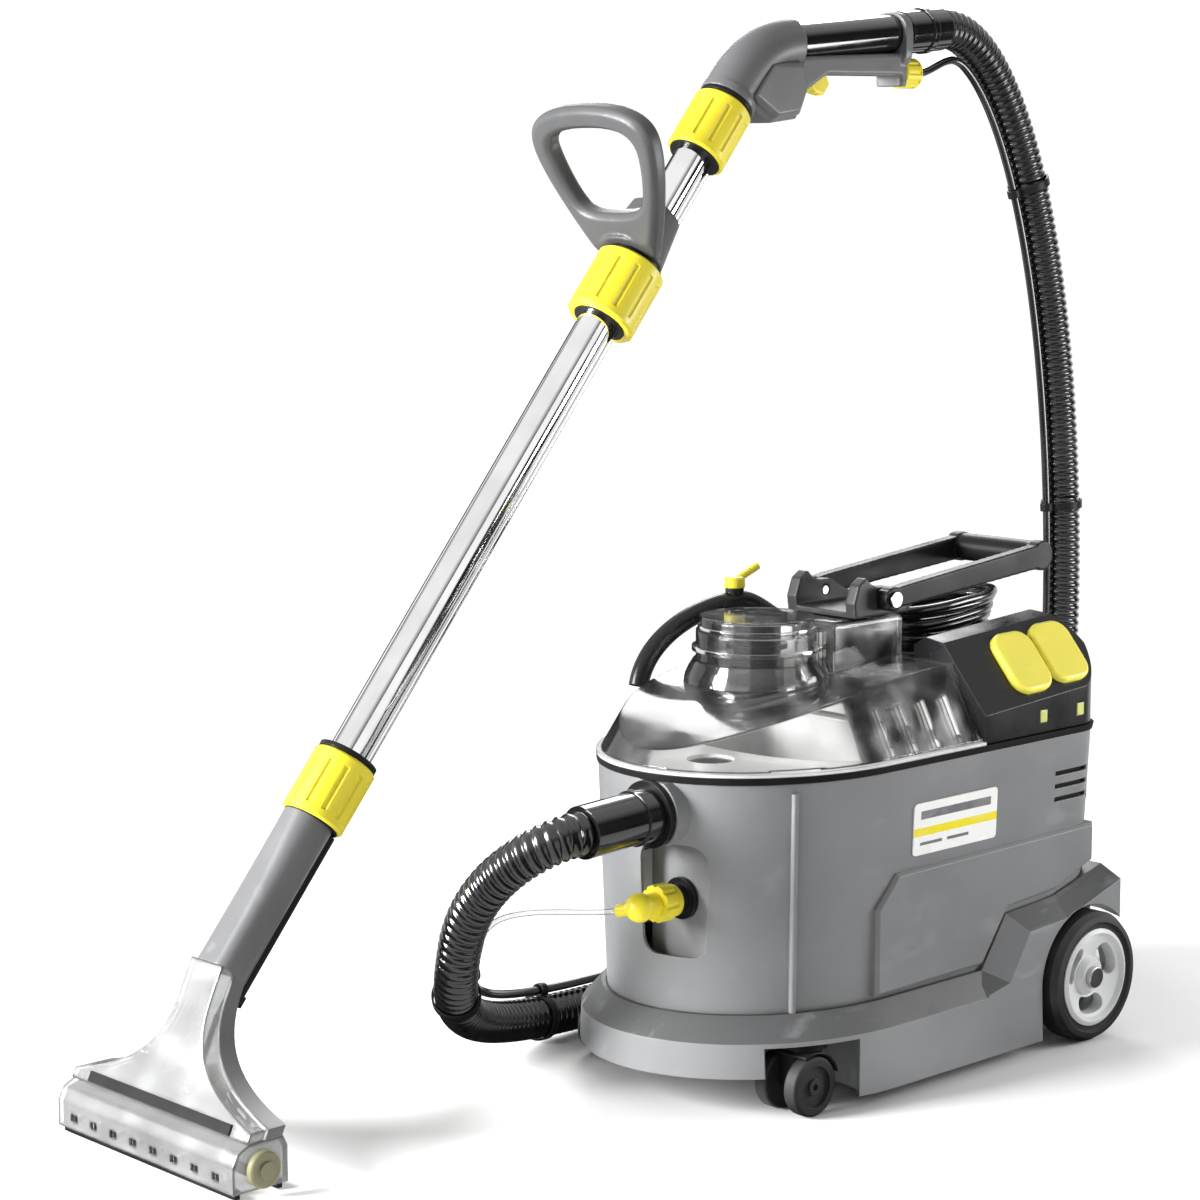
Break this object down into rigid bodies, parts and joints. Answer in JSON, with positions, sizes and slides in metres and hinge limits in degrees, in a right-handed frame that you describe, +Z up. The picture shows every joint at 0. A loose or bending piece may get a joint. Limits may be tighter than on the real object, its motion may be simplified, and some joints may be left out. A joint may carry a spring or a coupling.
{
  "type": "spot extractor",
  "caption": "Wheeled spray-extraction spot cleaner with clear recovery dome, suction hose and floor wand.",
  "frame": {"origin": "on the floor under the middle of the machine", "axes": "+X to the side with the switches, -Y towards the nose, +Z up"},
  "size_m": [0.4422, 1.191, 0.9448],
  "materials": {
    "housing_plastic": "satin moulded",
    "hood_plastic": "gloss black",
    "clear_plastic": "clear polycarbonate",
    "yellow_plastic": "satin yellow",
    "black_plastic": "moulded black",
    "dark_grey_plastic": "satin dark grey",
    "hub_plastic": "satin light grey",
    "tyre_rubber": "matt",
    "hose_rubber": "semi-gloss",
    "seal_rubber": "matt",
    "chrome_tube": "polished",
    "steel": "zinc plated",
    "label_white": "printed film",
    "lamp_lens": "translucent",
    "tank_natural": "translucent natural",
    "cap_olive": "satin"
  },
  "bodies": {
    "machine": {"chassis_skirt": "housing_plastic", "bottom_plate": "dark_grey_plastic", "rear_axle": "steel", "tank_housing": "housing_plastic", "rim_seal": "seal_rubber", "hose_socket": "black_plastic", "outlet_socket": "black_plastic", "outlet_coupling": "yellow_plastic", "label_plate": "label_white", "fresh_water_tank": "tank_natural", "vacuum_motor": "steel", "solution_pump": "black_plastic", "rear_hood": "hood_plastic", "indicator_lamps": "lamp_lens", "power_cord": "hose_rubber", "suction_hose": "hose_rubber", "solution_hose": "hose_rubber", "hose_clips": "black_plastic", "hose_cuff": "hood_plastic"},
    "wheel_right": {"wheel_hub_right": "hub_plastic", "wheel_tyre_right": "tyre_rubber"},
    "wheel_left": {"wheel_hub_left": "hub_plastic", "wheel_tyre_left": "tyre_rubber"},
    "caster_right": {"caster_fork_right": "black_plastic"},
    "caster_left": {"caster_fork_left": "black_plastic"},
    "caster_wheels_right": {"caster_wheels_right": "tyre_rubber"},
    "caster_wheels_left": {"caster_wheels_left": "tyre_rubber"},
    "tank": {"recovery_tank": "clear_plastic"},
    "lid": {"tank_lid": "clear_plastic", "float_cage": "black_plastic", "bleed_hose": "hose_rubber", "handle_bracket": "dark_grey_plastic", "handle_pins": "steel"},
    "float": {"float_ball": "tank_natural"},
    "bleed_lever": {"bleed_valve_lever": "yellow_plastic"},
    "handle": {"carry_handle": "black_plastic"},
    "collar": {"coupling_collar": "yellow_plastic"},
    "fan": {"fan_impeller": "steel"},
    "pump_button": {"button_pump": "yellow_plastic"},
    "vacuum_button": {"button_vacuum": "yellow_plastic"},
    "wand": {"lower_tube": "chrome_tube", "upper_tube": "chrome_tube", "union_cores": "black_plastic", "floor_neck": "housing_plastic", "spray_pipe": "black_plastic", "floor_window": "clear_plastic", "floor_back": "housing_plastic", "floor_lip": "clear_plastic", "lip_strips": "seal_rubber", "end_caps": "cap_olive", "d_handle": "housing_plastic", "grip_elbow": "housing_plastic", "grip_tube": "black_plastic", "grip_body": "housing_plastic", "spray_hose_nut": "yellow_plastic"},
    "nut_lower": {"union_nut_lower": "yellow_plastic"},
    "nut_middle": {"union_nut_middle": "yellow_plastic"},
    "nut_upper": {"union_nut_upper": "yellow_plastic"},
    "trigger": {"trigger": "yellow_plastic"}
  },
  "joints": [
    {"name": "wheel_right_spin", "type": "hinge", "parent": "machine", "child": "wheel_right", "pos_m": [0.1465, 0.191, 0.06], "axis": [1, 0, 0], "continuous": true},
    {"name": "wheel_left_spin", "type": "hinge", "parent": "machine", "child": "wheel_left", "pos_m": [-0.1465, 0.191, 0.06], "axis": [1, 0, 0], "continuous": true},
    {"name": "caster_right_swivel", "type": "hinge", "parent": "machine", "child": "caster_right", "pos_m": [0.11, -0.148, 0.06], "axis": [0, 0, 1], "continuous": true},
    {"name": "caster_right_roll", "type": "hinge", "parent": "caster_right", "child": "caster_wheels_right", "pos_m": [0.11, -0.158, 0.026], "axis": [1, 0, 0], "continuous": true},
    {"name": "caster_left_swivel", "type": "hinge", "parent": "machine", "child": "caster_left", "pos_m": [-0.11, -0.148, 0.06], "axis": [0, 0, 1], "continuous": true},
    {"name": "caster_left_roll", "type": "hinge", "parent": "caster_left", "child": "caster_wheels_left", "pos_m": [-0.11, -0.158, 0.026], "axis": [1, 0, 0], "continuous": true},
    {"name": "tank_lift", "type": "slide", "parent": "machine", "child": "tank", "axis": [0, 0, 1], "range_m": [0, 0.13]},
    {"name": "lid_lift", "type": "slide", "parent": "tank", "child": "lid", "axis": [0, 0, 1], "range_m": [0, 0.08]},
    {"name": "float_rise", "type": "slide", "parent": "lid", "child": "float", "axis": [0, 0, 1], "range_m": [0, 0.016]},
    {"name": "bleed_lever_turn", "type": "hinge", "parent": "lid", "child": "bleed_lever", "pos_m": [-0.096, -0.022, 0.414], "axis": [0, 0, 1], "range_deg": [0, 90]},
    {"name": "handle_swing", "type": "hinge", "parent": "lid", "child": "handle", "pos_m": [0, 0.027, 0.414], "axis": [1, 0, 0], "range_deg": [0, 95]},
    {"name": "collar_release", "type": "slide", "parent": "machine", "child": "collar", "axis": [0, -1, 0], "range_m": [0, 0.004], "stiffness_N_per_m": 400},
    {"name": "fan_spin", "type": "hinge", "parent": "machine", "child": "fan", "pos_m": [0, 0.14, 0.185], "axis": [0, 0, 1], "continuous": true},
    {"name": "pump_button_press", "type": "slide", "parent": "machine", "child": "pump_button", "axis": [-0.7621, 0.0452, -0.6459], "range_m": [0, 0.004], "stiffness_N_per_m": 800},
    {"name": "vacuum_button_press", "type": "slide", "parent": "machine", "child": "vacuum_button", "axis": [-0.7621, 0.0452, -0.6459], "range_m": [0, 0.004], "stiffness_N_per_m": 800},
    {"name": "wand_tilt", "type": "hinge", "parent": "machine", "child": "wand", "pos_m": [-0.152, -0.62, 0], "axis": [1, 0, 0], "range_deg": [-5, 6], "deforming": ["suction_hose", "solution_hose", "hose_clips"]},
    {"name": "nut_lower_turn", "type": "hinge", "parent": "wand", "child": "nut_lower", "pos_m": [-0.152, -0.44768, 0.2801], "axis": [0, 0.6347, 0.7727], "range_deg": [-60, 60]},
    {"name": "nut_middle_turn", "type": "hinge", "parent": "wand", "child": "nut_middle", "pos_m": [-0.152, -0.11762, 0.68192], "axis": [0, 0.6347, 0.7727], "range_deg": [-60, 60]},
    {"name": "nut_upper_turn", "type": "hinge", "parent": "wand", "child": "nut_upper", "pos_m": [-0.152, -0.0002, 0.82487], "axis": [0, 0.6347, 0.7727], "range_deg": [-60, 60]},
    {"name": "trigger_pull", "type": "hinge", "parent": "wand", "child": "trigger", "pos_m": [-0.152, 0.124, 0.88], "axis": [1, 0, 0], "range_deg": [0, 9], "stiffness_Nm_per_rad": 0.5}
  ]
}
